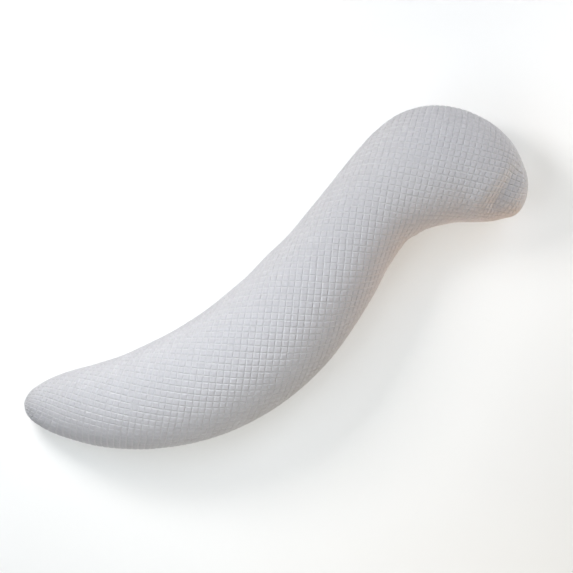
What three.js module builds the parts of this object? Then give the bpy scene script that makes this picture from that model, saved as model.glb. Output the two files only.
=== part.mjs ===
import * as THREE from 'three';

// A long side-sleeper's body pillow, stuffed tight and lying on its back.
// It is one closed cloth cover with its filling: a slim foot, a full middle,
// a narrower neck and a wide head that hooks to one side.
// Millimetres, +Z up. The origin is on the surface that the pillow lies on,
// at the middle of its footprint's box. +X runs from the foot to the head.

// One row for each cross-section, about 65 mm apart along the middle line.
//   x, y     the section's middle, seen from above
//   heading  the way the pillow runs there, in degrees anticlockwise from +X
//   half     half of the section's width
//   tall     the height of its crown above its own underside
//   lift     how far the underside is drawn up off the surface
const SECTIONS = [
  { x: -552, y: 138, heading: -34, half: 36, tall: 72, lift: 24 },
  { x: -496, y: 99, heading: -38, half: 68, tall: 128, lift: 8 },
  { x: -444, y: 59, heading: -34, half: 86, tall: 160, lift: 1 },
  { x: -388, y: 24, heading: -27, half: 99, tall: 182, lift: 0 },
  { x: -328, y: -3, heading: -21, half: 110, tall: 200, lift: 0 },
  { x: -266, y: -24, heading: -15, half: 118, tall: 214, lift: 0 },
  { x: -203, y: -37, heading: -9, half: 123, tall: 222, lift: 0 },
  { x: -138, y: -43, heading: -3, half: 125, tall: 226, lift: 0 },
  { x: -73, y: -41, heading: 4, half: 125, tall: 227, lift: 0 },
  { x: -9, y: -33, heading: 11, half: 122, tall: 222, lift: 0 },
  { x: 55, y: -17, heading: 16, half: 117, tall: 213, lift: 0 },
  { x: 119, y: 0, heading: 19, half: 109, tall: 200, lift: 0 },
  { x: 182, y: 22, heading: 18, half: 102, tall: 189, lift: 0 },
  { x: 242, y: 39, heading: 9, half: 100, tall: 184, lift: 0 },
  { x: 287, y: 50, heading: -4, half: 105, tall: 188, lift: 0 },
  { x: 331, y: 55, heading: -15, half: 116, tall: 197, lift: 0 },
  { x: 376, y: 52, heading: -25, half: 124, tall: 208, lift: 0 },
  { x: 420, y: 33, heading: -33, half: 125, tall: 214, lift: 0 },
  { x: 459, y: 1, heading: -41, half: 117, tall: 210, lift: 0 },
  { x: 488, y: -39, heading: -48, half: 104, tall: 198, lift: 2 },
  { x: 508, y: -79, heading: -53, half: 83, tall: 170, lift: 10 },
  { x: 518, y: -116, heading: -58, half: 52, tall: 120, lift: 27 },
];

// The rounded ends beyond the first and the last section: the tip that the rings close to,
// and the angle, on a round nose, at which each end takes over from its last section.
const FOOT_END = { tipX: -567, tipY: 149, fromAngle: 20 };
const HEAD_END = { tipX: 523, tipY: -139, fromAngle: 40 };

// The section: a round upper side on a broader underside, pressed flat where it rests.
const SEAM_HEIGHT = 0.47; // the widest line's height, as a share of the section's height
const UNDERSIDE_POWER = 2.5; // 2 is an ellipse, and more is squarer
const PRESSED = 5; // how much of the underside the surface flattens

// The shallow dip across the crown near the head's end.
const DIP = { fromX: 524, fromY: -84, toX: 468, toY: -99, width: 26, depth: 6 };

const RINGS_PER_ROW = 4;
const RINGS_PER_END = 6;
const POINTS_PER_RING = 32;

const COVER_COLOR = 0xd6d5da;

// Smooth curves through the rows: the middle line, then each section's size.
const through = (pick) => new THREE.CatmullRomCurve3(
  SECTIONS.map((row) => new THREE.Vector3(...pick(row))), false, 'catmullrom', 0.5);
const middleCurve = through((row) => [row.x, row.y, row.heading]);
const sizeCurve = through((row) => [row.half, row.tall, row.lift]);

function sectionAt(t) {
  const middle = middleCurve.getPoint(t);
  const size = sizeCurve.getPoint(t);
  return {
    x: middle.x,
    y: middle.y,
    heading: THREE.MathUtils.degToRad(middle.z),
    half: size.x,
    tall: size.y,
    lift: Math.max(size.z, 0),
  };
}

// The height of a section's widest line above the surface.
function seamHeight(section) {
  return SEAM_HEIGHT * section.tall + section.lift;
}

// How far a point seen from above is sunk by the dip near the head's end.
function dipAt(x, y) {
  const from = new THREE.Vector3(DIP.fromX, DIP.fromY, 0);
  const to = new THREE.Vector3(DIP.toX, DIP.toY, 0);
  const here = new THREE.Vector3(x, y, 0);
  const nearest = new THREE.Line3(from, to).closestPointToPoint(here, true, new THREE.Vector3());
  return DIP.depth * Math.exp(-((here.distanceTo(nearest) / DIP.width) ** 2));
}

// One ring of points around a section, drawn in to `scale`.
function ringPoints(section, scale) {
  const points = [];
  const seamZ = seamHeight(section);
  const upper = (1 - SEAM_HEIGHT) * section.tall;
  const lower = SEAM_HEIGHT * section.tall + PRESSED;
  for (let i = 0; i < POINTS_PER_RING; i += 1) {
    const turn = (i / POINTS_PER_RING) * 2 * Math.PI;
    const across = Math.cos(turn);
    const up = Math.sin(turn);
    let side = across;
    let rise = up * upper;
    if (up < 0) {
      const squarer = (Math.abs(across) ** UNDERSIDE_POWER + Math.abs(up) ** UNDERSIDE_POWER)
        ** (-1 / UNDERSIDE_POWER);
      side = across * squarer;
      rise = up * squarer * lower;
    }
    const x = section.x + side * section.half * scale * Math.sin(section.heading);
    const y = section.y - side * section.half * scale * Math.cos(section.heading);
    let z = seamZ + rise * scale;
    if (up > 0) z -= dipAt(x, y) * up;
    points.push([x, y, Math.max(z, 0)]);
  }
  return points;
}

// The rings of a rounded end, from its last full section towards its tip.
function endRings(section, end) {
  const rings = [];
  const from = THREE.MathUtils.degToRad(end.fromAngle);
  for (let i = 1; i < RINGS_PER_END; i += 1) {
    const angle = THREE.MathUtils.lerp(from, Math.PI / 2, i / RINGS_PER_END);
    const share = (Math.sin(angle) - Math.sin(from)) / (1 - Math.sin(from));
    const drawnIn = {
      ...section,
      x: THREE.MathUtils.lerp(section.x, end.tipX, share),
      y: THREE.MathUtils.lerp(section.y, end.tipY, share),
    };
    rings.push(ringPoints(drawnIn, Math.cos(angle) / Math.cos(from)));
  }
  return rings;
}

// The rings from the foot to the head, without the two points that close them.
function pillowRings() {
  const rings = endRings(sectionAt(0), FOOT_END).reverse();
  const steps = (SECTIONS.length - 1) * RINGS_PER_ROW;
  for (let i = 0; i <= steps; i += 1) rings.push(ringPoints(sectionAt(i / steps), 1));
  rings.push(...endRings(sectionAt(1), HEAD_END));
  return rings;
}

// A closed skin over the rings, with a fan to one point at each end.
function closedSkin(rings, startPoint, endPoint) {
  const positions = [...rings.flat(2), ...startPoint, ...endPoint];
  const count = POINTS_PER_RING;
  const start = rings.length * count;
  const end = start + 1;
  const faces = [];
  for (let r = 0; r < rings.length - 1; r += 1) {
    for (let i = 0; i < count; i += 1) {
      const a = r * count + i;
      const b = r * count + (i + 1) % count;
      faces.push(a, b + count, b, a, a + count, b + count);
    }
  }
  const lastRing = (rings.length - 1) * count;
  for (let i = 0; i < count; i += 1) {
    const next = (i + 1) % count;
    faces.push(start, i, next);
    faces.push(end, lastRing + next, lastRing + i);
  }
  const geometry = new THREE.BufferGeometry();
  geometry.setAttribute('position', new THREE.Float32BufferAttribute(positions, 3));
  geometry.setIndex(faces);
  geometry.computeVertexNormals();
  return geometry;
}

const footTip = [FOOT_END.tipX, FOOT_END.tipY, seamHeight(sectionAt(0))];
const headTip = [HEAD_END.tipX, HEAD_END.tipY, seamHeight(sectionAt(1))];
const skin = closedSkin(pillowRings(), footTip, headTip);
const cover = new THREE.MeshStandardMaterial({ color: COVER_COLOR, roughness: 0.9, metalness: 0 });
const pillow = new THREE.Mesh(skin, cover);
pillow.name = 'pillow_body';

const group = new THREE.Group();
group.add(pillow);

export default group;
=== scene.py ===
"""A long S-curved body pillow in a pale waffle-knit cover, lying on a pale floor.

The cover is one closed mesh. Its two alike panels are laid out flat, the knit's squares are ruled
on them straight, and each point is then carried onto the stuffed form, so the squares turn, crowd
and stretch on it as a real cover's do.
"""
import math

import bpy
import numpy as np
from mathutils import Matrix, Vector, geometry


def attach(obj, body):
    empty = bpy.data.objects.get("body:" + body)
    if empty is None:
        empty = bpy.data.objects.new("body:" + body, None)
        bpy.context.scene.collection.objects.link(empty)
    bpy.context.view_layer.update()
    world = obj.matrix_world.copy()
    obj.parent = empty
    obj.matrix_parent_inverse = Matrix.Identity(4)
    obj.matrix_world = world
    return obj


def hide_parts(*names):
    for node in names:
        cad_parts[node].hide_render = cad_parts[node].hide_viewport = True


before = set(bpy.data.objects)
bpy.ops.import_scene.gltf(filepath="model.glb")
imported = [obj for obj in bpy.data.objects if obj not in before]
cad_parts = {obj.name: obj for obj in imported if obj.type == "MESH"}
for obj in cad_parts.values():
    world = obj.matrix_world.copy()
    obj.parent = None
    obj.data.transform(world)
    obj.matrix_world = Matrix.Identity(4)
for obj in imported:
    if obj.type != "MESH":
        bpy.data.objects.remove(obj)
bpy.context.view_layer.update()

MM = 0.001

# ---------------------------------------------------------------- the pillow's form, in millimetres
# One row for each cross-section, from the foot to the head: its middle seen from above, heading in
# degrees, half width, crown height, lift off the floor, and how far the knit's grooves are turned
# there, clockwise in degrees. Scratch scripts measured the middle, heading and half width on the
# photo's outline, and the grooves' turn on its grooves. These were rounded, and some then changed.
# The heights and lifts were chosen.
COLUMNS = ("x", "y", "heading", "half", "tall", "lift", "grain")
SECTIONS = (
    (-552, 138, -34, 35.5, 72, 24, 23),
    (-527.5, 121, -36, 53.2, 99, 16, 20.5),
    (-496, 99, -38, 68.5, 128, 8, 18),
    (-444, 59, -34, 86, 160, 1, 15),
    (-388, 24, -27, 99, 182, 0, 12),
    (-328, -3, -21, 110, 200, 0, 9),
    (-266, -24, -15, 118, 214, 0, 6),
    (-203, -37, -9, 123, 222, 0, 4),
    (-138, -43, -3, 125, 226, 0, 3),
    (-73, -41, 4, 125, 227, 0, 2),
    (-9, -33, 11, 122, 222, 0, 2),
    (55, -17, 16, 117, 213, 0, 2),
    (119, 0, 19, 109, 200, 0, 2),
    (182, 22, 18, 102, 189, 0, 3),
    (242, 39, 9, 100, 184, 0, 5),
    (287, 50, -4, 105, 188, 0, 7),
    (331, 55, -15, 116, 197, 0, 8),
    (376, 52, -25, 124, 208, 0, 9),
    (420, 33, -33, 125, 214, 0, 10),
    (459, 1, -41, 117, 210, 0, 12),
    (488, -39, -48, 104, 198, 2, 15),
    (508, -79, -53, 83, 170, 10, 20),
    (518, -116, -58, 52, 120, 27, 25),
)
# The rounded ends: where each tip lies, and the angle on a round nose at which the end takes over.
FOOT_END = {"tip": (-569, 150), "from_angle": 55}
HEAD_END = {"tip": (523, -139), "from_angle": 40}
SEAM_HEIGHT = 0.47  # the seam's height, as a share of the section's height
UNDERSIDE_POWER = 2.5  # 2 is an ellipse, and more is squarer
PRESSED = 5  # how much of the underside the floor flattens
PRESS_SOFTNESS = 2.0  # how softly the flat patch runs into the round
# Shallow valleys in the upper side: from, to, width and depth. A ridge has a depth below zero.
DIP = ((524, -84), (468, -99), 26, 6)  # the solid's own, near the head's end
CREASES = (  # the stuffed cover's
    ((542, -80), (465, -108), 15, 8.0),  # across the head's end
    ((524, -58), (444, -76), 16, -3.5),  # the ridge beside it
    ((247, -24), (277, -50), 4.5, 1.6),  # at the inner side of the neck
    ((236, -36), (259, -55), 4.5, 1.3),
    ((-556, 118), (-541, 94), 6, 1.0),  # at the foot's tip
)
CREASE_RIM = 0.2  # how far creases stay clear of the upright rim
LUMP_DEPTH = 0.8  # how far the filling's soft unevenness moves the cover
# Its waves: radians for each metre along x, y and z, and the angle that each starts at.
LUMP_WAVES = (
    ((9.1, 3.7, 5.2), 0.4),
    ((-4.3, 12.9, 7.7), 1.9),
    ((16.3, -8.8, -4.1), 3.1),
    ((7.9, 21.1, 11.3), 4.4),
    ((-23.7, 9.9, 14.9), 5.6),
)

# How finely the form is worked out.
STATIONS_PER_ROW = 16
STATIONS_PER_END = 28
ANGLES_ACROSS = 361  # round half a section
SAMPLES_ACROSS = 97  # of each panel, from its right seam to its left one

# The cloth simulation that settles the filled cover, run on a coarse cage of the form.
CAGE_STATIONS = 4  # every so many stations make one ring of the cage
CAGE_COLUMNS = 3  # and every so many samples across make one point of a ring
AIR_PRESSURE = 4
LAST_FRAME = 20
MOST_MOVE = 5.0  # no point moves further than this

# ---------------------------------------------------------------- the knit, in millimetres
PITCH = 13.8  # from one square to the next
RELIEF = 2.7  # from a groove's bottom to a square's top
RIM_RELIEF = 0.2  # the share of it left where the cover stands upright, which is pulled tight
RIM_SLOPE = 3  # how fast relief and creases grow as the cover turns from upright to level
FORM_LEVEL = 0.6  # where the stuffed form lies between groove, at 0, and square's top, at 1
# Where a square's mesh lines run, in pitches, and how high the knit stands on them.
UPPER_LINES = ((0.0, 0.0), (0.11, 0.5), (0.23, 1.0), (0.77, 1.0), (0.89, 0.5))
LOWER_LINES = ((0.0, 0.0), (0.18, 0.9), (0.82, 0.9))
GRAIN_ALONG = math.radians(-37)  # the two ways that the grooves run on the flat panel
GRAIN_ACROSS = math.radians(48)
GRAIN_WAYS = np.array([[math.cos(GRAIN_ALONG), math.sin(GRAIN_ALONG)],
                       [math.cos(GRAIN_ACROSS), math.sin(GRAIN_ACROSS)]])
# Near its ends the cover is drawn in. Its cross lines bow towards the tip and skew, most at a
# distance from it, and its squares crowd together lengthwise. At the foot it is gathered too: the
# flat panel is wider there than the form. Crowd and gather are shares that fade away from the tip.
FOOT_DRAW = {
    "bow": 32, "bow_at": 180,
    "skew": 11, "skew_at": 220,
    "crowd": 0.10, "crowd_over": 200,
}
HEAD_DRAW = {
    "bow": 36, "bow_at": 135,
    "skew": -7, "skew_at": 110,
    "crowd": 0.32, "crowd_over": 190,
}
FOOT_GATHER = 1.3
FOOT_GATHER_OVER = 40
SEAM_MARGIN = 1.4  # the narrowest strip between the squares' mesh and the seam
SEAM_SPACING = 3.6  # between points along the seam
SEAM_SINK = 0.6  # how far the seam draws the cover in
SEAM_REACH = 3.0  # and how far from the seam that fades

# The search for the place on the form that a flat point belongs to.
TIP_STATIONS = 30  # the stretch at each tip where the first guesses are close together
POINTS_AT_ONCE = 4000  # to save memory
SEARCH_STEPS = 14
MOST_STATIONS = 8  # that one step moves
MOST_ACROSS = 0.3
FOUND_WITHIN = 0.05  # how near a found place has to come

# The fabric's own colour, then its cloudy places, uneven yarns and speckles, a little off it.
KNIT_COLOURS = ((0.665, 0.66, 0.68), (0.685, 0.68, 0.70), (0.71, 0.705, 0.72), (0.63, 0.625, 0.645))
# Painted light: a paler colour in the grooves, which offsets the shade that falls in them.
GROOVE_PAINTED_LIGHT_COLOUR = (0.76, 0.755, 0.765)
GROOVE_MASK_REACH = 0.16  # how far from a groove's middle its paler colour, painted light, reaches, in pitches
STITCHES_PER_SQUARE = 9
FUZZ_SCALE = 34  # noise for each pitch
SLUB_LONG = 0.35  # uneven yarns: noise for each pitch along the yarn
SLUB_THIN = 9  # and across it
CLOUD_SCALE = 7  # noise for each metre
GROOVE_BUMP = 0.4  # fine relief that the shader adds
STITCH_BUMP = 0.06
FUZZ_BUMP = 0.10
BAKE_MARGIN = 0.02  # round the flat panels in the layout for baking


# ---------------------------------------------------------------- the stuffed form
def catmull_rom(values, per_row):
    """Smooth values between the rows, as the solid's own sections run."""
    values = np.asarray(values, float)
    padded = np.vstack([2 * values[0] - values[1], values, 2 * values[-1] - values[-2]])
    rows = len(values) - 1
    t = np.arange(rows * per_row + 1) / per_row
    row = np.minimum(t.astype(int), rows - 1)
    t = (t - row)[:, None]
    a, b, c, d = (padded[row + k] for k in range(4))
    out = (c - a) / 2
    back = (d - b) / 2
    return b + out * t + (3 * (c - b) - 2 * out - back) * t**2 + (2 * (b - c) + out + back) * t**3


def end_stations(section, end):
    """The drawn-in sections of a rounded end, from its last full section to its tip."""
    start = math.radians(end["from_angle"])
    angle = np.linspace(start, math.pi / 2, STATIONS_PER_END + 1)[1:]
    share = (np.sin(angle) - math.sin(start)) / (1 - math.sin(start))
    rows = np.repeat(section[None], STATIONS_PER_END, axis=0)
    rows[:, :2] += share[:, None] * (np.array(end["tip"]) - section[:2])
    scale = np.cos(angle) / math.cos(start)
    scale[-1] = 0
    return rows, scale


def stations():
    """Every section from the foot's tip to the head's, as named columns.

    The column scale tells how far a section is drawn in, from 1 in the body to 0 at a tip.
    """
    body = catmull_rom(SECTIONS, STATIONS_PER_ROW)
    foot, foot_scale = end_stations(body[0], FOOT_END)
    head, head_scale = end_stations(body[-1], HEAD_END)
    rows = np.vstack([foot[::-1], body, head])
    named = dict(zip(COLUMNS, rows.T))
    named["heading"] = np.radians(named["heading"])
    named["lift"] = np.maximum(named["lift"], 0)
    named["scale"] = np.concatenate([foot_scale[::-1], np.ones(len(body)), head_scale])
    return named


def valley(x, y, start, end, width, depth):
    """How far points seen from above are sunk by a shallow valley with soft sides."""
    run = np.subtract(end, start)
    along = np.clip(((x - start[0]) * run[0] + (y - start[1]) * run[1]) / (run @ run), 0, 1)
    away = np.hypot(x - start[0] - along * run[0], y - start[1] - along * run[1])
    return depth * np.exp(-((away / width) ** 2))


def half_sections(st, side):
    """Points round the upper half of each section, at side 1, or the lower half, at side -1."""
    turn = np.linspace(0, math.pi, ANGLES_ACROSS)
    across, up = np.cos(turn), np.sin(turn)
    if side < 0:
        squarer = (abs(across) ** UNDERSIDE_POWER + up**UNDERSIDE_POWER) ** (-1 / UNDERSIDE_POWER)
        across, up = across * squarer, -up * squarer
    seam = SEAM_HEIGHT * st["tall"] + st["lift"]
    reach = (1 - SEAM_HEIGHT) * st["tall"] if side > 0 else SEAM_HEIGHT * st["tall"] + PRESSED
    wide = across * (st["half"] * st["scale"])[:, None]
    x = st["x"][:, None] + wide * np.sin(st["heading"])[:, None]
    y = st["y"][:, None] - wide * np.cos(st["heading"])[:, None]
    z = seam[:, None] + up * (reach * st["scale"])[:, None]
    if side > 0:
        z = z - valley(x, y, *DIP) * up
    z = (z + np.sqrt(z**2 + PRESS_SOFTNESS**2)) / 2
    return np.stack([x, y, z], -1)


def panel_surface(st, side):
    """One stuffed panel as a grid of stations by even steps across, right seam first, and its widths."""
    points = half_sections(st, side)
    steps = np.linalg.norm(np.diff(points, axis=1), axis=2)
    length = np.concatenate([np.zeros((len(points), 1)), np.cumsum(steps, axis=1)], axis=1)
    even = np.linspace(0, 1, SAMPLES_ACROSS)
    grid = np.empty((len(points), SAMPLES_ACROSS, 3))
    for i, (line, total) in enumerate(zip(length, length[:, -1])):
        at = line / total if total > 0 else np.linspace(0, 1, len(line))
        for k in range(3):
            grid[i, :, k] = np.interp(even, at, points[i, :, k])
    return grid, length[:, -1]


def sample(grid, station, across):
    """A panel's grid of values at fractional stations and places across."""
    i = np.clip(station.astype(int), 0, grid.shape[0] - 2)
    column = (across + 1) / 2 * (grid.shape[1] - 1)
    j = np.clip(column.astype(int), 0, grid.shape[1] - 2)
    a, b = (station - i)[:, None], (column - j)[:, None]
    return ((grid[i, j] * (1 - a) + grid[i + 1, j] * a) * (1 - b)
            + (grid[i, j + 1] * (1 - a) + grid[i + 1, j + 1] * a) * b)


def sample_cover(upper, lower, station, across, below):
    """Samples the upper panel's grid, and for the points below the lower panel's."""
    values = sample(upper, station, across)
    values[below] = sample(lower, station[below], across[below])
    return values


def lumps(points):
    """Soft unevenness of the filling: a few long waves of unlike lengths."""
    total = sum(np.sin(points @ (np.array(way) * MM) + start) for way, start in LUMP_WAVES)
    return total / len(LUMP_WAVES)


# ---------------------------------------------------------------- the cover settling on its filling
def cage_mesh(rings):
    """A coarse closed mesh of the stuffed form: rings of points, with a point at each tip."""
    count, around = rings.shape[:2]
    body = rings[1:-1].reshape(-1, 3)
    foot, head = len(body), len(body) + 1
    step = np.arange(around)
    after = (step + 1) % around
    faces = [(foot, a, b) for a, b in zip(step, after)]
    for ring in range(count - 3):
        here, ahead = ring * around, (ring + 1) * around
        faces += [(here + a, ahead + a, ahead + b, here + b) for a, b in zip(step, after)]
    last = (count - 3) * around
    faces += [(head, last + b, last + a) for a, b in zip(step, after)]
    points = np.vstack([body, rings[0].mean(axis=0), rings[-1].mean(axis=0)]) * MM
    mesh = bpy.data.meshes.new("cage")
    mesh.from_pydata(points.tolist(), [], [tuple(int(k) for k in face) for face in faces])
    return mesh


def add_cloth(cage):
    """Gives the cage an airtight, slightly stretchy cover that gravity doesn't pull."""
    cloth = cage.modifiers.new("cloth", "CLOTH")
    cloth.settings.quality = 5
    cloth.settings.mass = 0.3
    cloth.settings.tension_stiffness = 15
    cloth.settings.compression_stiffness = 15
    cloth.settings.shear_stiffness = 5
    cloth.settings.bending_stiffness = 0.5
    cloth.settings.use_pressure = True
    cloth.settings.uniform_pressure_force = AIR_PRESSURE
    cloth.settings.effector_weights.gravity = 0
    cloth.collision_settings.use_collision = False
    cloth.collision_settings.use_self_collision = False


def outward_moves(mesh):
    """Settles a cloth on the cage and tells how far each point moved outwards, in millimetres."""
    cage = bpy.data.objects.new("cage", mesh)
    bpy.context.scene.collection.objects.link(cage)
    add_cloth(cage)
    for moment in range(1, LAST_FRAME + 1):
        bpy.context.scene.frame_set(moment)
    posed = cage.evaluated_get(bpy.context.evaluated_depsgraph_get()).to_mesh()
    before, after, outward = (np.empty(len(mesh.vertices) * 3) for _ in range(3))
    mesh.vertices.foreach_get("co", before)
    mesh.vertices.foreach_get("normal", outward)
    posed.vertices.foreach_get("co", after)
    bpy.data.objects.remove(cage)
    bpy.context.scene.frame_set(1)
    return ((after - before) * outward).reshape(-1, 3).sum(axis=1) / MM


def settled(upper, lower):
    """How far the filled cover moves outwards as its cloth settles, over each panel's grid."""
    rows = np.append(np.arange(0, len(upper) - 1, CAGE_STATIONS), len(upper) - 1)
    columns = np.arange(0, SAMPLES_ACROSS, CAGE_COLUMNS)
    rings = np.concatenate([upper[:, columns], lower[:, columns][:, -2:0:-1]], axis=1)[rows]
    move = outward_moves(cage_mesh(rings))
    move = MOST_MOVE * np.tanh(move / MOST_MOVE)
    grid = np.zeros(rings.shape[:2])
    grid[1:-1] = move[:-2].reshape(grid[1:-1].shape)
    half = len(columns)
    return grid[:, :half], np.concatenate([grid[:, :1], grid[:, :half - 2:-1]], axis=1)


def settling(upper, lower, station, across, below):
    """How far each point of the cover settles outwards, fading to nothing at the seam."""
    upper_moves, lower_moves = settled(upper, lower)
    in_cage = station / CAGE_STATIONS
    moves = sample_cover(upper_moves[..., None], lower_moves[..., None], in_cage, across, below)
    return moves[:, 0] * (1 - across**2)


# ---------------------------------------------------------------- the flat panels and their squares
def rise_and_fall(x):
    """A smooth rise from 0 to 1 at x = 1, and a slower fall after it."""
    return (x * np.exp(1 - x)) ** 2


def cross(a, b):
    """The signed areas that pairs of flat vectors span."""
    return a[:, 0] * b[:, 1] - a[:, 1] * b[:, 0]


class FlatPanel:
    """The cover's panel laid out flat, in millimetres, and the way back from it to the sections."""

    def __init__(self, st, crown, width):
        flat_heading = st["heading"] + np.radians(st["grain"])
        plan = np.diff(np.stack([st["x"], st["y"]], -1), axis=0)
        off_heading = np.arctan2(plan[:, 1], plan[:, 0]) - (st["heading"][1:] + st["heading"][:-1]) / 2
        way = (flat_heading[1:] + flat_heading[:-1]) / 2 + off_heading
        step = np.linalg.norm(np.diff(crown, axis=0), axis=1)
        from_foot = np.concatenate([[0], np.cumsum(step)])
        from_head = from_foot[-1] - from_foot
        draws = ((from_foot, FOOT_DRAW), (from_head, HEAD_DRAW))
        crowd = sum(draw["crowd"] * np.exp(-far / draw["crowd_over"]) for far, draw in draws)
        step = step * (1 + (crowd[1:] + crowd[:-1]) / 2)
        line = np.cumsum(step[:, None] * np.stack([np.cos(way), np.sin(way)], -1), axis=0)
        self.middle = np.vstack([[0, 0], line])
        self.ahead = np.stack([np.cos(flat_heading), np.sin(flat_heading)], -1)
        self.left = np.stack([-np.sin(flat_heading), np.cos(flat_heading)], -1)
        self.half = width / 2 * (1 + FOOT_GATHER * np.exp(-from_foot / FOOT_GATHER_OVER))
        self.bow = (HEAD_DRAW["bow"] * rise_and_fall(from_head / HEAD_DRAW["bow_at"])
                    - FOOT_DRAW["bow"] * rise_and_fall(from_foot / FOOT_DRAW["bow_at"]))
        self.skew = sum(draw["skew"] * rise_and_fall(far / draw["skew_at"]) for far, draw in draws)

    def row(self, i, across):
        """Flat points of whole sections i, at places across from -1 to 1."""
        across = across[:, None]
        return (self.middle[i] + self.left[i] * self.half[i, None] * across
                + self.ahead[i] * (self.bow[i, None] * across**2 + self.skew[i, None] * across))

    def lay(self, station, across):
        """Flat points at fractional stations, and how they move with station and across."""
        i = np.clip(station.astype(int), 0, len(self.half) - 2)
        share = (station - i)[:, None]
        start, end = self.row(i, across), self.row(i + 1, across)
        step = 0.01
        shifted = self.row(i, across + step) * (1 - share) + self.row(i + 1, across + step) * share
        here = start * (1 - share) + end * share
        return here, end - start, (shifted - here) / step

    def edge(self, side):
        """The panel's right edge, at side -1, or its left one, at side 1."""
        rows = np.arange(len(self.half))
        return self.row(rows, np.full(len(rows), float(side)))

    def nearest_guess(self, points):
        """Where to start looking for each flat point: the nearest of some known ones."""
        last = len(self.half) - 1
        near_foot = np.arange(0, TIP_STATIONS, 2)
        between = np.arange(TIP_STATIONS, last - TIP_STATIONS, 8)
        near_head = np.arange(last - TIP_STATIONS, last, 2)
        rows = np.unique(np.concatenate([near_foot, between, near_head]))
        places = np.linspace(-0.9, 0.9, 9)
        station, across = np.repeat(rows, len(places)), np.tile(places, len(rows))
        known = self.row(station, across)
        parts = np.array_split(points, max(1, len(points) // POINTS_AT_ONCE))
        nearest = [((part[:, None] - known) ** 2).sum(-1).argmin(axis=1) for part in parts]
        nearest = np.concatenate(nearest)
        return station[nearest].astype(float), across[nearest]

    def find(self, points):
        """Each flat point's station, as a fraction, and its place across from -1 to 1; nan outside."""
        station, across = self.nearest_guess(points)
        for _ in range(SEARCH_STEPS):
            here, by_station, by_across = self.lay(station, across)
            off = points - here
            area = cross(by_station, by_across)
            area = np.where(abs(area) < 1e-9, 1e-9, area)
            move_station = np.clip(cross(off, by_across) / area, -MOST_STATIONS, MOST_STATIONS)
            move_across = np.clip(cross(by_station, off) / area, -MOST_ACROSS, MOST_ACROSS)
            station = np.clip(station + move_station, 0, len(self.half) - 1.0001)
            across = np.clip(across + move_across, -1.2, 1.2)
        missed = np.linalg.norm(points - self.lay(station, across)[0], axis=1) > FOUND_WITHIN
        outside = missed | (abs(across) > 1)
        return np.where(outside, np.nan, station), np.where(outside, np.nan, across)


def in_pitches(flat):
    """Flat points counted in squares along the two ways of the grain."""
    return flat @ np.linalg.inv(GRAIN_WAYS) / PITCH


def grid_lines(low, high, lines):
    """The mesh lines over a stretch of the flat panel: where each runs, and how high the knit is."""
    first, last = math.floor(low / PITCH), math.ceil(high / PITCH)
    at = [((n + part) * PITCH, height) for n in range(first, last + 1) for part, height in lines]
    return np.array(at).T


def inside_loop(points, loop):
    """Which points lie inside a closed loop of straight edges."""
    start, end = loop, np.roll(loop, -1, axis=0)
    x, y = points[:, 0, None], points[:, 1, None]
    spans = (start[:, 1] > y) != (end[:, 1] > y)
    rise = np.where(end[:, 1] == start[:, 1], 1, end[:, 1] - start[:, 1])
    crossing = start[:, 0] + (y - start[:, 1]) / rise * (end[:, 0] - start[:, 0])
    return (spans & (crossing > x)).sum(axis=1) % 2 == 1


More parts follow.
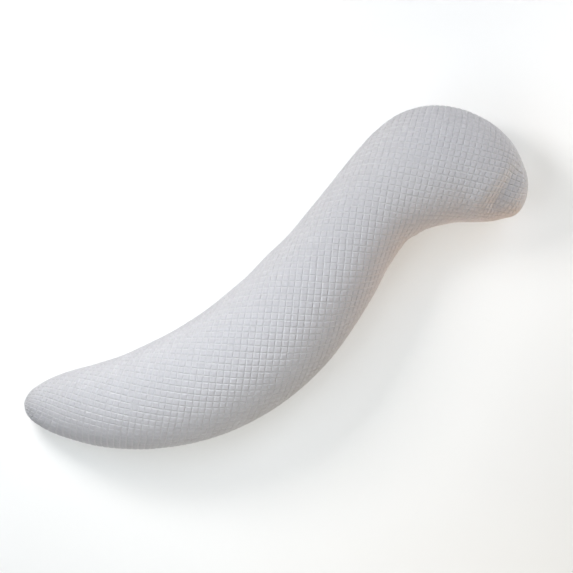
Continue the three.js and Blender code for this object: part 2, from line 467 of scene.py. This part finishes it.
class Squares:
    """The knit's squares, ruled on the flat panel as a mesh, and the strip that fills up to the seam.

    nodes holds the values of the ruling's points, and seam those of the points along the seam.
    """

    def __init__(self, panel, lines):
        outline = np.vstack([panel.edge(-1), panel.edge(1)[::-1]])
        reach = in_pitches(outline) * PITCH
        along, along_height = grid_lines(reach[:, 0].min(), reach[:, 0].max(), lines)
        across, across_height = grid_lines(reach[:, 1].min(), reach[:, 1].max(), lines)
        a, b = np.meshgrid(along, across, indexing="ij")
        flat = np.stack([a.ravel(), b.ravel()], -1) @ GRAIN_WAYS
        station, place = panel.find(flat)
        half = np.interp(station, np.arange(len(panel.half)), panel.half)
        from_seam = np.nan_to_num((1 - abs(place)) * half, nan=-1)
        self.nodes = {
            "flat": flat,
            "station": station,
            "across": place,
            "height": np.outer(along_height, across_height).ravel(),
            "from_seam": from_seam,
        }
        self.lines = along, across
        self.usable = (from_seam > SEAM_MARGIN).reshape(a.shape)
        self.rule_quads()
        self.rule_seam(panel)
        self.fill_strip()

    def rule_quads(self):
        """Keeps the cells of the ruling whose four corners are usable."""
        ok = self.usable
        self.kept = ok[:-1, :-1] & ok[1:, :-1] & ok[:-1, 1:] & ok[1:, 1:]
        i, j = np.nonzero(self.kept)
        wide = ok.shape[1]
        corner = i * wide + j
        self.quads = np.stack([corner, corner + wide, corner + wide + 1, corner + 1], -1)

    def rule_seam(self, panel):
        """Points evenly along the seam, once round from the foot's tip."""
        count = len(panel.half)
        rows = np.arange(count)
        right, left = panel.edge(-1), panel.edge(1)
        closed = np.vstack([right, left[-2:0:-1], right[:1]])
        station = np.concatenate([rows, rows[-2:0:-1], rows[:1]])
        length = np.concatenate([[0], np.cumsum(np.linalg.norm(np.diff(closed, axis=0), axis=1))])
        even = np.linspace(0, length[-1], int(length[-1] / SEAM_SPACING), endpoint=False)
        self.seam = {
            "flat": np.stack([np.interp(even, length, closed[:, k]) for k in range(2)], -1),
            "station": np.interp(even, length, station),
            "across": np.where(even <= length[count - 1], -1.0, 1.0),
            "height": np.full(len(even), FORM_LEVEL),
            "from_seam": np.zeros(len(even)),
        }

    def fill_strip(self):
        """Triangles between the squares' ragged outer edge and the seam."""
        rim = self.outer_edges()
        self.inner = np.unique(np.concatenate([rim.ravel(), self.loose_nodes()]))
        order = {node: k for k, node in enumerate(self.inner)}
        inner, ring = len(self.inner), len(self.seam["flat"])
        points = np.vstack([self.nodes["flat"][self.inner], self.seam["flat"]])
        edges = [(order[a], order[b]) for a, b in rim]
        edges += [(inner + k, inner + (k + 1) % ring) for k in range(ring)]
        made = geometry.delaunay_2d_cdt([Vector(p) for p in points], edges, [], 0, 1e-5)
        if len(made[0]) != len(points):
            raise RuntimeError("the strip's edges cross, so the panel's outline overlaps itself")
        triangles = np.array([f for f in made[2] if len(f) == 3])
        middle = points[triangles].mean(axis=1)
        self.strip = triangles[inside_loop(middle, self.seam["flat"]) & ~self.on_square(middle)]

    def outer_edges(self):
        """The edges that only one kept square has."""
        sides = np.vstack([self.quads[:, [k, (k + 1) % 4]] for k in range(4)])
        alike = np.sort(sides, axis=1)
        _, place, uses = np.unique(alike, axis=0, return_index=True, return_counts=True)
        return sides[place[uses == 1]]

    def loose_nodes(self):
        """Usable nodes of the ruling that no kept square reaches."""
        used = np.zeros(self.usable.shape, bool)
        used.ravel()[self.quads.ravel()] = True
        return np.nonzero((self.usable & ~used).ravel())[0]

    def on_square(self, points):
        """Which flat points lie on a kept cell of the ruling."""
        cell = []
        for line, value, count in zip(self.lines, (in_pitches(points) * PITCH).T, self.usable.shape):
            found = np.searchsorted(line, value, side="right") - 1
            cell.append(np.clip(found, 0, count - 2))
        return self.kept[cell[0], cell[1]]


# ---------------------------------------------------------------- the cover's mesh
def vertex_normals(points, quads, triangles):
    """Each point's normal, leaning to its largest faces, so that the squares' tops shade flat."""
    normals = np.zeros_like(points)
    for faces in (quads, triangles):
        first, second, third = (points[faces[:, k]] for k in range(3))
        if faces.shape[1] == 4:
            normal = np.cross(third - first, points[faces[:, 3]] - second)
        else:
            normal = np.cross(second - first, third - first)
        normal = normal * np.linalg.norm(normal, axis=1)[:, None]
        for k in range(faces.shape[1]):
            np.add.at(normals, faces[:, k], normal)
    return normals / np.maximum(np.linalg.norm(normals, axis=1), 1e-12)[:, None]


def point_values(ruled, used):
    """The values of every point: the upper panel's used nodes, the lower one's, then the seam's."""
    upper, lower = ruled
    return {name: np.concatenate([upper.nodes[name][used[0]], lower.nodes[name][used[1]], at_seam])
            for name, at_seam in upper.seam.items()}


def panel_faces(squares, used, first, seam_first):
    """One panel's quads and triangles, by the numbers that its points have in the cover."""
    number = np.zeros(len(squares.nodes["flat"]), int)
    number[used] = np.arange(len(used)) + first
    seam = np.arange(len(squares.seam["flat"])) + seam_first
    strip_points = np.concatenate([number[squares.inner], seam])
    return number[squares.quads], strip_points[squares.strip]


def without_doubles(triangles):
    """Marks the triangles to keep: one cut off by the seam on both panels would lie on its twin."""
    alike = np.sort(triangles, axis=1)
    _, place, uses = np.unique(alike, axis=0, return_inverse=True, return_counts=True)
    return uses[place.ravel()] == 1


def cover_faces(ruled, used):
    """The cover's quads and triangles, and which of them, quads first, are the upper panel's."""
    seam_first = len(used[0]) + len(used[1])
    upper_quads, upper_strip = panel_faces(ruled[0], used[0], 0, seam_first)
    lower_quads, lower_strip = panel_faces(ruled[1], used[1], len(used[0]), seam_first)
    quads = np.vstack([upper_quads, lower_quads[:, ::-1]])
    triangles = np.vstack([upper_strip, lower_strip[:, ::-1]])
    kept = without_doubles(triangles)
    quad_is_upper = np.arange(len(quads)) < len(upper_quads)
    triangle_is_upper = np.arange(len(triangles)) < len(upper_strip)
    return quads, triangles[kept], np.concatenate([quad_is_upper, triangle_is_upper[kept]])


def stands_out(at, normals):
    """How far each point of the cover stands out from the stuffed form."""
    points = at["point"]
    clear_of_rim = np.clip(abs(normals[:, 2]) * RIM_SLOPE, 0, 1)
    relief = RELIEF * (RIM_RELIEF + (1 - RIM_RELIEF) * clear_of_rim)
    seam_fade = np.exp(-((at["from_seam"] / SEAM_REACH) ** 2))
    proud = relief * (at["height"] - FORM_LEVEL) - SEAM_SINK * seam_fade
    proud += LUMP_DEPTH * lumps(points)
    proud += at["settle"]
    upper_side = np.clip(normals[:, 2] * RIM_SLOPE - CREASE_RIM, 0, 1)
    for crease in CREASES:
        proud -= valley(points[:, 0], points[:, 1], *crease) * upper_side
    return proud


def build_cover():
    """The cover's points, quads, triangles and flat places, and which faces are the upper panel's."""
    st = stations()
    upper, upper_width = panel_surface(st, 1)
    lower, lower_width = panel_surface(st, -1)
    panel = FlatPanel(st, upper[:, SAMPLES_ACROSS // 2], (upper_width + lower_width) / 2)
    ruled = Squares(panel, UPPER_LINES), Squares(panel, LOWER_LINES)
    used = [np.union1d(squares.quads.ravel(), squares.inner) for squares in ruled]
    at = point_values(ruled, used)
    below = slice(len(used[0]), len(used[0]) + len(used[1]))
    at["point"] = sample_cover(upper, lower, at["station"], at["across"], below)
    at["settle"] = settling(upper, lower, at["station"], at["across"], below)

    quads, triangles, is_upper = cover_faces(ruled, used)
    in_mesh = np.zeros(len(at["point"]), bool)
    in_mesh[quads.ravel()] = True
    in_mesh[triangles.ravel()] = True
    number = np.cumsum(in_mesh) - 1
    quads, triangles = number[quads], number[triangles]
    at = {name: values[in_mesh] for name, values in at.items()}

    normals = vertex_normals(at["point"], quads, triangles)
    points = at["point"] + normals * stands_out(at, normals)[:, None]
    points[:, 2] = np.maximum(points[:, 2], 0)
    return points * MM, quads, triangles, at["flat"], is_upper


def panels_side_by_side(flat, is_upper):
    """The two flat panels laid out in a square of side 1 with no overlap, for baking."""
    low, wide = flat.min(axis=0), np.ptp(flat[:, 0])
    place = BAKE_MARGIN + (flat - low) / wide * (1 - 2 * BAKE_MARGIN)
    place[:, 1] += np.where(is_upper, 0, 0.5)
    return place


def cover_object(name):
    """The cover as one smooth mesh, with its places on the flat panels and a layout for baking."""
    points, quads, triangles, flat, is_upper = build_cover()
    corners = np.concatenate([quads.ravel(), triangles.ravel()])
    sides = np.repeat([4, 3], [len(quads), len(triangles)])
    mesh = bpy.data.meshes.new(name)
    mesh.vertices.add(len(points))
    mesh.vertices.foreach_set("co", points.ravel())
    mesh.loops.add(len(corners))
    mesh.loops.foreach_set("vertex_index", corners)
    mesh.polygons.add(len(sides))
    mesh.polygons.foreach_set("loop_start", np.cumsum(sides) - sides)
    mesh.update(calc_edges=True)
    mesh.polygons.foreach_set("use_smooth", np.ones(len(sides), bool))
    mesh.uv_layers.new(name="knit").data.foreach_set("uv", in_pitches(flat[corners]).ravel())
    side_by_side = panels_side_by_side(flat[corners], np.repeat(is_upper, sides))
    mesh.uv_layers.new(name="OFBake").data.foreach_set("uv", side_by_side.ravel())
    piece = bpy.data.objects.new(name, mesh)
    bpy.context.scene.collection.objects.link(piece)
    if mesh.validate(verbose=True):
        raise RuntimeError("the cover's mesh had faults")
    mesh.normals_split_custom_set_from_vertices(vertex_normals(points, quads, triangles))
    return piece


# ---------------------------------------------------------------- materials
class Nodes:
    """Short ways to add shader nodes."""

    def __init__(self, name):
        self.material = bpy.data.materials.new(name)
        self.material.use_nodes = True
        self.tree = self.material.node_tree
        self.shader = self.tree.nodes["Principled BSDF"]

    def put(self, value, socket):
        """Sets a socket to a number or a colour, or links it to another socket."""
        if isinstance(value, (int, float)):
            socket.default_value = value
        elif isinstance(value, tuple):
            socket.default_value = (*value, 1)
        else:
            self.tree.links.new(value, socket)

    def put_all(self, **values):
        """Puts values on the shader's sockets, by name, with _ for a space."""
        for name, value in values.items():
            self.put(value, self.shader.inputs[name.replace("_", " ")])

    def math(self, operation, *values):
        node = self.tree.nodes.new("ShaderNodeMath")
        node.operation = operation
        for value, socket in zip(values, node.inputs):
            self.put(value, socket)
        return node.outputs[0]

    def noise(self, place, scale, detail=2.0, stretch=None):
        if stretch:
            mapping = self.tree.nodes.new("ShaderNodeMapping")
            mapping.inputs["Scale"].default_value = stretch
            self.put(place, mapping.inputs["Vector"])
            place = mapping.outputs[0]
        node = self.tree.nodes.new("ShaderNodeTexNoise")
        node.inputs["Scale"].default_value = scale
        node.inputs["Detail"].default_value = detail
        self.put(place, node.inputs["Vector"])
        return node.outputs["Fac"]

    def remap(self, value, from_low, from_high, to_low, to_high, smooth=False):
        node = self.tree.nodes.new("ShaderNodeMapRange")
        node.interpolation_type = "SMOOTHSTEP" if smooth else "LINEAR"
        for socket, number in zip(node.inputs[1:5], (from_low, from_high, to_low, to_high)):
            socket.default_value = number
        self.put(value, node.inputs[0])
        return node.outputs[0]

    def mix(self, share, first, second):
        node = self.tree.nodes.new("ShaderNodeMix")
        node.data_type = "RGBA"
        self.put(share, node.inputs["Factor"])
        self.put(first, node.inputs[6])
        self.put(second, node.inputs[7])
        return node.outputs[2]

    def bump(self, height, distance, under=None):
        node = self.tree.nodes.new("ShaderNodeBump")
        node.inputs["Distance"].default_value = distance * MM
        self.put(height, node.inputs["Height"])
        if under:
            self.put(under, node.inputs["Normal"])
        return node.outputs[0]


def knit_material():
    """Matt waffle knit: fine stitches, soft fuzz and slight unevenness, with painted light that makes
    the grooves slightly paler.
    """
    n = Nodes("waffle_knit")
    knit = n.tree.nodes.new("ShaderNodeUVMap")
    knit.uv_map = "knit"
    split = n.tree.nodes.new("ShaderNodeSeparateXYZ")
    n.put(knit.outputs[0], split.inputs[0])
    along, across = split.outputs[0], split.outputs[1]
    place = n.tree.nodes.new("ShaderNodeTexCoord").outputs["Object"]

    off_line = n.math("MINIMUM", n.math("PINGPONG", along, 0.5), n.math("PINGPONG", across, 0.5))
    groove = n.remap(off_line, 0.0, GROOVE_MASK_REACH, 1.0, 0.0, smooth=True)
    turns = 2 * math.pi * STITCHES_PER_SQUARE
    stitches = n.math("MULTIPLY", n.math("SINE", n.math("MULTIPLY", along, turns)),
                      n.math("SINE", n.math("MULTIPLY", across, turns)))
    fuzz = n.noise(knit.outputs[0], FUZZ_SCALE, detail=3)
    cloud = n.noise(place, CLOUD_SCALE)
    slub_along = n.noise(knit.outputs[0], 1, stretch=(SLUB_LONG, SLUB_THIN, 1))
    slub_across = n.noise(knit.outputs[0], 1, stretch=(SLUB_THIN, SLUB_LONG, 1))
    slub = n.math("ADD", slub_along, slub_across)

    base, cloudy, slubby, speckled = KNIT_COLOURS
    colour = n.mix(n.remap(cloud, 0.3, 0.7, 0, 1), base, cloudy)
    colour = n.mix(n.remap(slub, 0.8, 1.2, 0, 0.5), colour, slubby)
    speckle = n.math("ADD", n.remap(fuzz, 0.25, 0.75, -0.5, 0.5), n.math("MULTIPLY", stitches, 0.4))
    colour = n.mix(n.remap(speckle, -0.9, 0.9, 0.0, 0.35), colour, speckled)
    # Painted light: the grooves are mixed towards a paler colour, offsetting the shade in them.
    colour = n.mix(n.math("MULTIPLY", groove, 0.6), colour, GROOVE_PAINTED_LIGHT_COLOUR)
    roughness = n.remap(fuzz, 0.3, 0.7, 0.84, 0.97)
    normal = n.bump(n.math("SUBTRACT", 1.0, groove), GROOVE_BUMP)
    normal = n.bump(stitches, STITCH_BUMP, normal)
    normal = n.bump(fuzz, FUZZ_BUMP, normal)
    n.put_all(Base_Color=colour, Roughness=roughness, Normal=normal, Specular_IOR_Level=0.25,
              Sheen_Weight=0.20, Sheen_Roughness=0.5)
    return n.material


def floor_material():
    """A pale floor, which gives off light of its own far away, where no lamp reaches it."""
    n = Nodes("pale_floor")
    place = n.tree.nodes.new("ShaderNodeTexCoord").outputs["Object"]
    tone = n.remap(n.noise(place, 1.5), 0.3, 0.7, 0, 1)
    colour = n.mix(tone, (0.925, 0.925, 0.925), (0.94, 0.94, 0.94))
    apart = n.tree.nodes.new("ShaderNodeVectorMath")
    apart.operation = "LENGTH"
    n.put(place, apart.inputs[0])
    glow = n.remap(apart.outputs["Value"], *FLOOR_GLOW_FROM, 0.0, FLOOR_GLOW, smooth=True)
    n.put_all(Base_Color=colour, Roughness=0.9, Emission_Color=FLOOR_GLOW_COLOUR, Emission_Strength=glow)
    return n.material


def backdrop_material():
    """A plain pale glow."""
    n = Nodes("pale_backdrop")
    n.put_all(Base_Color=(0, 0, 0), Specular_IOR_Level=0, Emission_Color=(1, 1, 1),
              Emission_Strength=BACKDROP_GLOW)
    return n.material


# ---------------------------------------------------------------- camera, light and floor
PHOTO_SIDE = 573  # pixels
MM_PER_PIXEL = 2.08
PHOTO_TURN = math.radians(-37)  # the photo's right-hand way, seen from above in the pillow's frame
PILLOW_MIDDLE = (285.06, 299.50)  # where the pillow's origin lies in the photo, in pixels
OUTLINE_HEIGHT = 0.100  # metres up to the widest line, where the photo's scale was taken
CAMERA_HEIGHT = 12.0
FLOOR_HEIGHT = -0.0004  # just clear of the pillow's flat patch
BACKDROP_RADIUS = 30
BACKDROP_GLOW = 0.86
FLOOR_GLOW = 0.59
FLOOR_GLOW_FROM = (0.9, 2.2)  # metres from the pillow where it starts and where it is full
FLOOR_GLOW_COLOUR = (1.0, 0.985, 1.0)
# The lights. A scratch script fitted their strengths and colours to the photo's smoothed brightness
# and groove contrast. They were rounded, and many then changed, among them the low glow's and the
# ambient light's. The places were chosen.
AMBIENT = (0.012, (1.0, 0.6, 0.6))  # strength and colour
FLOOR_WASH = (0.95, (0.968, 1.0, 0.958))
FLOOR_WASH_SPREAD = 1.2  # radians
# Each lamp's name, place and aim (to the right, up and over the floor, in metres), size, power and
# colour.
LAMPS = (
    ("window", (-1.05, 0.90, 1.40), (0.0, 0.0, 0.0), 0.7, 20.1, (1.0, 0.98, 0.966)),
    ("overhead", (-0.50, -0.20, 1.20), (-0.40, -0.20, 0.0), 1.0, 7.2, (0.847, 0.922, 1.0)),
    ("far_side", (1.10, 0.90, 0.90), (0.40, 0.20, 0.1), 0.8, 5.7, (0.816, 0.882, 1.0)),
    ("warm_side", (1.20, 0.30, 0.40), (0.40, 0.20, 0.1), 0.6, 1.6, (1.0, 0.84, 0.62)),
    ("near_side", (0.50, -1.30, 0.70), (0.10, 0.0, 0.0), 0.8, 4.3, (1.0, 0.89, 0.74)),
)
# A faint orange light low beside the head's end, which falls on the pillow alone.
LOW_GLOW = ("low_glow", (0.52, -0.13, 0.03), (0.44, 0.15, 0.06), 0.2, 0.42, (1.0, 0.46, 0.16))
RIGHT = np.array([math.cos(PHOTO_TURN), math.sin(PHOTO_TURN), 0])
UP = np.array([-math.sin(PHOTO_TURN), math.cos(PHOTO_TURN), 0])


def photo_place(right, up, height):
    """A point given in metres to the right of and above the photo's middle, and over the floor."""
    middle = PHOTO_SIDE / 2
    off_pillow = (middle - PILLOW_MIDDLE[0]) * RIGHT - (middle - PILLOW_MIDDLE[1]) * UP
    photo_middle = off_pillow * MM_PER_PIXEL * MM
    return Vector(photo_middle + right * RIGHT + up * UP + height * np.array([0, 0, 1]))


def add_camera():
    """The photo's view: straight down from far off, so that the scale hardly changes with height."""
    data = bpy.data.cameras.new("camera")
    data.sensor_width = 36
    span = PHOTO_SIDE * MM_PER_PIXEL * MM
    data.lens = data.sensor_width * (CAMERA_HEIGHT - OUTLINE_HEIGHT) / span
    camera = bpy.data.objects.new("camera", data)
    camera.location = photo_place(0, 0, CAMERA_HEIGHT)
    camera.rotation_euler = (0, 0, PHOTO_TURN)
    bpy.context.scene.collection.objects.link(camera)
    bpy.context.scene.camera = camera


def add_lamp(name, place, aim, size, power, colour):
    """A square area light, its place and aim as photo_place takes them."""
    place, aim = photo_place(*place), photo_place(*aim)
    data = bpy.data.lights.new(name, "AREA")
    data.shape = "SQUARE"
    data.size = size
    data.energy = power
    data.color = colour
    light = bpy.data.objects.new(name, data)
    light.location = place
    light.rotation_euler = (aim - place).to_track_quat("-Z", "Y").to_euler()
    bpy.context.scene.collection.objects.link(light)
    return light


def light_only(light, piece):
    """Makes a light fall on one piece alone."""
    receivers = bpy.data.collections.new(light.name + "_falls_on")
    receivers.objects.link(piece)
    light.light_linking.receiver_collection = receivers


def add_floor_wash(floor):
    """An even light from straight above that only whitens the floor, and casts no shadow on it."""
    data = bpy.data.lights.new("floor_wash", "SUN")
    data.angle = FLOOR_WASH_SPREAD
    data.energy, data.color = FLOOR_WASH
    light = bpy.data.objects.new("floor_wash", data)
    bpy.context.scene.collection.objects.link(light)
    light_only(light, floor)
    light.light_linking.blocker_collection = light.light_linking.receiver_collection


def add_world(strength, colour):
    """A faint even light from all round."""
    world = bpy.data.worlds.new("studio")
    world.use_nodes = True
    background = world.node_tree.nodes["Background"]
    background.inputs["Color"].default_value = (*colour, 1)
    background.inputs["Strength"].default_value = strength
    bpy.context.scene.world = world


def add_floor():
    """A pale floor out to the backdrop."""
    bpy.ops.mesh.primitive_plane_add(size=2 * BACKDROP_RADIUS, location=(0, 0, FLOOR_HEIGHT))
    floor = bpy.context.object
    floor.name = "floor"
    floor.data.materials.append(floor_material())
    return floor


def add_backdrop():
    """A wide pale wall all round, seen behind the pillow from low down. It casts no light."""
    bpy.ops.mesh.primitive_uv_sphere_add(radius=BACKDROP_RADIUS, segments=48, ring_count=24)
    backdrop = bpy.context.object
    backdrop.name = "backdrop"
    backdrop.data.materials.append(backdrop_material())
    backdrop.visible_diffuse = False
    backdrop.visible_glossy = False
    backdrop.visible_transmission = False
    backdrop.visible_shadow = False


add_camera()
add_world(*AMBIENT)
floor = add_floor()
add_backdrop()
add_floor_wash(floor)
bpy.context.scene.view_settings.view_transform = "Standard"

pillow = cover_object("pillow_cover")
pillow.data.materials.append(knit_material())
for lamp in LAMPS:
    add_lamp(*lamp)
low_glow = add_lamp(*LOW_GLOW)
light_only(low_glow, pillow)
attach(pillow, "root")
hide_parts("pillow_body")
